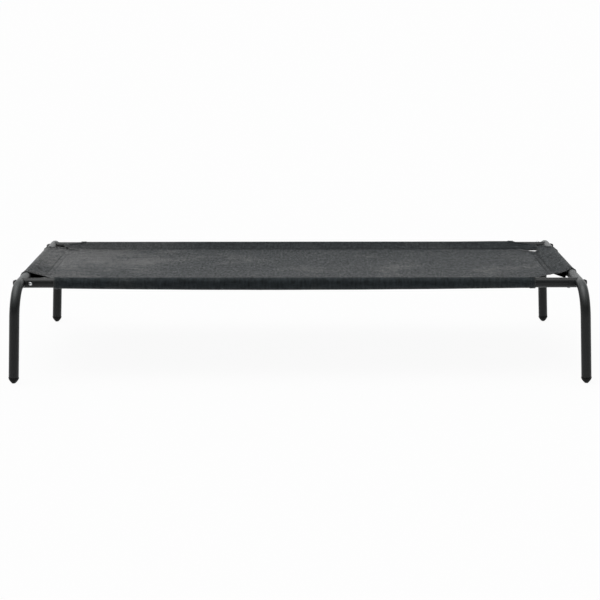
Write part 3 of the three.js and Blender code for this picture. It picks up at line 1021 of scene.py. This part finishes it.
        if beyond <= sleeve.run:
            share = beyond / sleeve.run
            point = at_seam.lerp(on_tube(sleeve.start), share)
            point.y += offset * (1 - share)
            point.y -= RUN_SAG * math.sin(math.pi * share)
        elif beyond <= sleeve.run + sleeve.wrap:
            point = on_tube(sleeve.start + (beyond - sleeve.run) / sleeve.radius)
        else:
            under = at_seam - Vector((0, self.cover.thickness * LAP_DROP + offset - hem))
            share = min(1.0, (beyond - sleeve.run - sleeve.wrap) / sleeve.run)
            point = on_tube(2 * math.pi - sleeve.start).lerp(under, share)
            past = beyond - sleeve.turn
            if past > 0:
                point = under + Vector((past, -LAP_FALL * past / self.cover.lap))
        return sleeve.side * (sleeve.seam + (sleeve.depth - point.x)), point.y

    def normal(self, u, v):
        """Which way the outer side of the sheet faces."""
        step = 0.0004
        ahead = self.place(u + step, v) - self.place(u - step, v)
        side = self.place(u, v + step) - self.place(u, v - step)
        return ahead.cross(side).normalized()


def grid_lines(breaks, step):
    """Sorted places that include every break and leave no gap over a step."""
    places = []
    ordered = sorted(set(round(place, 6) for place in breaks))
    for low, high in zip(ordered, ordered[1:]):
        count = max(1, math.ceil((high - low) / step))
        places += [low + (high - low) * part / count for part in range(count)]
    return places + [ordered[-1]]


def sheet_lines(sheet):
    """The grid lines of the flat sheet along u and along v."""
    cover = sheet.cover
    short_of_seam = (0, 0.002, 0.004, 0.006, 0.008, 0.010, cover.lap)
    inside_mouth = (0, 0.0016, cover.hem_width, cover.hem_width + 0.002)
    lines = []
    for sleeves, crossing in ((sheet.ends, sheet.long), (sheet.long, sheet.ends)):
        breaks = []
        for sleeve in sleeves.values():
            run, wrap = sleeve.run, sleeve.wrap
            round_tube = [run + wrap * part / WRAP_STEPS for part in range(WRAP_STEPS + 1)]
            back = (run + wrap + run * 0.5, sleeve.turn, sleeve.whole)
            beyond_seam = (0.0015, 0.003, 0.006, run * 0.5, *round_tube, *back)
            breaks += [sleeve.side * (sleeve.seam - near) for near in short_of_seam]
            breaks += [sleeve.side * (sleeve.seam + beyond) for beyond in beyond_seam]
        for sleeve in crossing.values():
            breaks += [mouth + inwards * near for mouth, inwards in sleeve.mouths for near in inside_mouth]
        lines.append(grid_lines(breaks, 2 * cover.seam_x / cover.cells))
    return lines


def new_cloth():
    """A bmesh with a UV map of places on the flat sheet, and the notes that its material reads."""
    work = bmesh.new()
    work.loops.layers.uv.new("flat")
    for name in NOTES:
        work.verts.layers.float.new(name)
    return work


def flat_sheet(sheet):
    """The sheet while it is flat, with its corners cut away. Its UV map holds the same places."""
    u_lines, v_lines = sheet_lines(sheet)
    work = new_cloth()
    knots = {}

    def knot(i, j):
        if (i, j) not in knots:
            knots[i, j] = work.verts.new((u_lines[i], v_lines[j], 0))
        return knots[i, j]

    panel = []
    for i in range(len(u_lines) - 1):
        for j in range(len(v_lines) - 1):
            u = (u_lines[i] + u_lines[i + 1]) / 2
            v = (v_lines[j] + v_lines[j + 1]) / 2
            past_end, past_long = (past > 0 for past in sheet.past_seams(u, v))
            if past_end and (past_long or sheet.ends[sign(u)].inside(v) < 0):
                continue
            if past_long and sheet.long[sign(v)].inside(u) < 0:
                continue
            face = work.faces.new((knot(i, j), knot(i + 1, j), knot(i + 1, j + 1), knot(i, j + 1)))
            if not (past_end or past_long):
                panel.append(face)
    for (end, row), (first, _, inwards) in sheet.cuts.items():
        middles = ((face, face.calc_center_median()) for face in panel)
        reached = sheet.cover.seam_x - CUT_REGION
        near = [face for face, middle in middles if middle.x * end > reached and middle.y * row > 0]
        around = dict.fromkeys(part for face in near for part in (*face.edges, *face.verts))
        bmesh.ops.bisect_plane(
            work, geom=[*near, *around], dist=1e-5, plane_co=first, plane_no=-inwards, clear_outer=True
        )
        panel = [face for face in panel if face.is_valid]
    flat = work.loops.layers.uv["flat"]
    for face in work.faces:
        for loop in face.loops:
            loop[flat].uv = loop.vert.co.xy
    mark_layers(work, sheet, [(vert, vert.co.x, vert.co.y) for vert in work.verts])
    return work


def mark_layers(work, sheet, places):
    """Notes for the material: painted shade where the mesh lies in two layers and in the gathers beside a
    seam, and a painted highlight along a folded edge. The left end shows its seam and its painted shade
    less than the right one."""
    double_layer_shade, sewn, edge_highlight = (work.verts.layers.float[name] for name in NOTES)
    lap = sheet.cover.lap
    for vert, u, v in places:
        past_end, past_long = sheet.past_seams(u, v)
        past = max(past_end, past_long)
        # How deep the painted shade of the two layers is: most on the long sleeves, least on the left end.
        kept = 0.85 if past_long > past_end else 0.35 if u < 0 else 0.5
        over_tube = smooth((past - 0.030) / 0.010)
        vert[double_layer_shade] = kept * smooth((past + lap) / (lap + 0.004)) * (1 - 0.7 * over_tube)
        # Painted shade in the gathers beside each row of stitches, faint at the left end.
        along = v if past_end > past_long else u
        pulled = (0.1 if u < 0 else 1.0) * (0.6 + 0.5 * wave((along, past), 0.012, 31.0))
        vert[sewn] = pulled * max(math.exp(-(((past - row) / 0.0015) ** 2)) for row in SEAM_ROWS)
        # Painted highlight along each mouth and cut edge, where the mesh is folded.
        vert[edge_highlight] = 1 - smooth(sheet.from_edge(u, v) / 0.0030)


def thicken(piece, thickness):
    """Gives a sheet its thickness, half to each side."""
    solidify = piece.modifiers.new("thickness", "SOLIDIFY")
    solidify.thickness = thickness
    solidify.offset = 0


class BED_OT_cover(bpy.types.Operator):
    """Make the cover: one sheet, stretched between the tubes and sewn round them"""

    bl_idname = "dog_bed.cover"
    bl_label = "Cover"

    def execute(self, context):
        cover = context.scene.bed_cover
        sheet = Sheet(context.scene.bed_frame, cover)
        work = flat_sheet(sheet)
        area = sum(face.calc_area() for face in work.faces)
        for vert in work.verts:
            vert.co = sheet.place(vert.co.x, vert.co.y)
        replaced = ["cover_panel", "front_sleeve", "rear_sleeve", "left_sleeve", "right_sleeve"]
        piece = add_piece("cover", work, "woven_mesh", replaced, 60)
        thicken(piece, cover.thickness)
        length = 2 * (cover.seam_x + sheet.ends[1].whole)
        width = 2 * (cover.seam_y + sheet.long[1].whole)
        on_it = [add_hems(sheet), add_stitches(sheet)]
        return {"FINISHED"}


def add_hems(sheet):
    """The layer turned in at each mouth of a sleeve, between the sleeve and its tube."""
    cover = sheet.cover
    work = new_cloth()
    flat = work.loops.layers.uv["flat"]
    under = -cover.thickness * HEM_DROP
    places = []
    for sleeve in sheet.sleeves:
        rounds = grid_lines([0.004, sleeve.turn - 0.002], 0.003)
        for mouth, inwards in sleeve.mouths:
            rows = []
            for part in (0.0, 0.5, 1.0):
                along = mouth + inwards * (0.0002 + part * cover.hem_width)
                flats = [sleeve.flat(along, beyond) for beyond in rounds]
                rows.append([(work.verts.new(sheet.place(u, v, under)), u, v) for u, v in flats])
                places += rows[-1]
            for row, after in zip(rows, rows[1:]):
                for corners in zip(row, row[1:], after[1:], after):
                    face = work.faces.new([vert for vert, _, _ in corners])
                    for loop, (_, u, v) in zip(face.loops, corners):
                        loop[flat].uv = u, v
    mark_layers(work, sheet, places)
    piece = add_piece("turned_hems", work, "woven_mesh")
    thicken(piece, cover.thickness * 0.9)
    return piece


def stitch_lines(sheet):
    """Every sewn line as its two ends on the flat sheet: seams, hems of mouths, hems of cut corners."""
    from_mouth = 0.003
    inset = sheet.cover.hem_width - HEM_STITCH
    lines = []
    for sleeve in sheet.sleeves:
        for shift in SEAM_ROWS:
            ends = [sleeve.low + from_mouth, sleeve.high - from_mouth]
            if sleeve.kind == "long" and shift > 0:
                for number, end in enumerate(ENDS):
                    ends[number] -= end * 0.5 * FLARES[end, sleeve.side]["long"].on_run(0)
            lines.append([sleeve.flat(along, shift) for along in ends])
    for sleeve in sheet.sleeves:
        for mouth, inwards in sleeve.mouths:
            lines.append([sleeve.flat(mouth + inwards * inset, beyond) for beyond in (0.006, sleeve.turn)])
    for first, second, inwards in sheet.cuts.values():
        lines.append([(point + inwards * inset).xy for point in (first, second)])
    return lines


def add_stitches(sheet):
    """Every stitch of the seams and hems: a short length of thread that dips in at both ends."""
    cover = sheet.cover
    pitch = cover.stitch_length + cover.stitch_gap
    work = bmesh.new()
    for start, end in stitch_lines(sheet):
        start, end = Vector(start), Vector(end)
        whole = (end - start).length
        count = int(whole / pitch)
        along = (end - start).normalized()
        for number in range(count):
            middle = start + along * (whole * (number + 0.5) / count)
            facing = sheet.normal(*middle)
            stations = []
            for share in (-1.0, -0.82, -0.45, 0.0, 0.45, 0.82, 1.0):
                on_line = middle + along * (share * cover.stitch_length / 2)
                lift = cover.thickness / 2 + cover.stitch_radius * (0.75 - 1.9 * share ** 4)
                radius = cover.stitch_radius * (1.0 - 0.45 * share ** 4)
                stations.append((sheet.place(*on_line) + facing * lift, radius))
            run = (stations[-1][0] - stations[0][0]).normalized()
            side = facing.cross(run).normalized()
            add_rings(work, [
                [point + side * spot.x + facing * spot.y for spot in circle(radius, sides=6)]
                for point, radius in stations
            ], capped=True)
    return add_piece("seam_stitches", work, "sewing_thread")


# ---- Stage ----

FLOOR_REACH = 60  # from the middle of the floor to its sides
TO_SOFT_BOX = (-0.22, 0.0, 0.975)
SUN_WAY = Vector((0.25, -0.5, -0.9))
SUN_SPREAD = math.radians(55)


def add_floor(colour, white):
    """A wide pale floor. white is the share of it that stays white whatever light or shadow falls there."""
    work = bmesh.new()
    bmesh.ops.create_grid(work, x_segments=1, y_segments=1, size=FLOOR_REACH)
    shader = Shader("studio_floor", colour, 0.9, specular_ior_level=0.0)
    glow = shader.node("ShaderNodeEmission", None, {"Color": (1, 1, 1, 1), "Strength": 1.0})
    surface = Value(shader, shader.surface.outputs["BSDF"])
    shown = shader.node("ShaderNodeMixShader", None, (white * shader.white_background(), surface, glow))
    shader.link(shown, shader.tree.nodes["Material Output"].inputs["Surface"])
    add_mesh("studio_floor", work, shader.material)


def add_world():
    """White for the camera all round, and white behind the bed in gloss. The light on the bed comes from
    that backdrop and a soft box overhead, and less from the dim side of the room behind the camera."""
    world = bpy.data.worlds.new("studio")
    bpy.context.scene.world = world
    world.use_nodes = True
    nodes = Nodes(world.node_tree)
    outwards = nodes.node("ShaderNodeTexCoord", output="Generated")
    _, rearward, upward = nodes.split(outwards)
    backdrop = nodes.ramp(rearward, -0.5, 0.5)
    above_backdrop = nodes.ramp(upward, 0.22, 0.55)
    room = (0.26 + 0.74 * backdrop) * (1 - 0.9 * above_backdrop * backdrop)
    towards_box = nodes.node(
        "ShaderNodeVectorMath", {"operation": "DOT_PRODUCT"}, (outwards, TO_SOFT_BOX), output="Value"
    )
    light = room + nodes.ramp(towards_box, 0.80, 0.98, 0.0, 3.5)
    white = nodes.white_background(nodes.ramp(rearward, 0.3, 0.6) * (1 - above_backdrop))
    background = world.node_tree.nodes["Background"]
    nodes.link(nodes.ramp(white, 0.0, 1.0, light, 1.0), background.inputs["Color"])
    nodes.link(1.0, background.inputs["Strength"])


def add_sun(power):
    """A wide soft sun."""
    lamp = bpy.data.lights.new("sun", "SUN")
    lamp.energy = power
    lamp.angle = SUN_SPREAD
    add_object("sun", lamp).rotation_euler = SUN_WAY.to_track_quat("-Z", "Y").to_euler()


class BED_OT_stage(bpy.types.Operator):
    """Set up the floor, the soft light and the camera"""

    bl_idname = "dog_bed.stage"
    bl_label = "Stage"

    def execute(self, context):
        scene = context.scene
        view = scene.bed_view
        scene.view_settings.view_transform = "Standard"
        add_floor(scene.bed_finishes.floor, view.white)
        add_world()
        add_sun(view.sun)
        camera = bpy.data.cameras.new("camera")
        camera.sensor_width = 36
        camera.lens = view.lens
        eye = add_object("camera", camera)
        low, high = CAD_BOX
        eye.location = ((low[0] + high[0]) / 2, -view.distance, view.height)
        tilted = Matrix.Rotation(math.pi / 2 - view.pitch, 4, "X")
        eye.rotation_euler = (tilted @ Matrix.Rotation(view.roll, 4, "Z")).to_euler()
        scene.camera = eye
        return {"FINISHED"}


# ---- Add-on ----


class BED_PT_sidebar(bpy.types.Panel):
    """Lists what makes the bed, in the order in which it is made, and every size and colour"""

    bl_idname = "BED_PT_sidebar"
    bl_label = "Dog Bed"
    bl_space_type = "VIEW_3D"
    bl_region_type = "UI"
    bl_category = "Dog Bed"

    def draw(self, context):
        for operator in MAKERS:
            self.layout.operator(operator.bl_idname)
        for name, group in GROUPS.items():
            column = self.layout.column()
            column.label(text=group.__doc__.rstrip("."))
            for setting in group.__annotations__:
                column.prop(getattr(context.scene, name), setting)


GROUPS = {
    "bed_frame": FrameSizes, "bed_fasteners": FastenerSizes, "bed_cover": CoverSizes,
    "bed_finishes": Finishes, "bed_view": ViewSizes,
}
MAKERS = (
    BED_OT_stage, BED_OT_end_frames, BED_OT_rails, BED_OT_foot_caps, BED_OT_bolts, BED_OT_rivets,
    BED_OT_cover,
)
CLASSES = (*GROUPS.values(), *MAKERS, BED_PT_sidebar)


def register():
    for each in CLASSES:
        bpy.utils.register_class(each)
    for name, group in GROUPS.items():
        setattr(bpy.types.Scene, name, PointerProperty(type=group))


def unregister():
    for name in GROUPS:
        delattr(bpy.types.Scene, name)
    for each in reversed(CLASSES):
        bpy.utils.unregister_class(each)


def main():
    register()
    for maker in MAKERS:
        group, name = maker.bl_idname.split(".")
        getattr(getattr(bpy.ops, group), name)()
    bpy.context.view_layer.update()


if __name__ == "__main__":
    main()
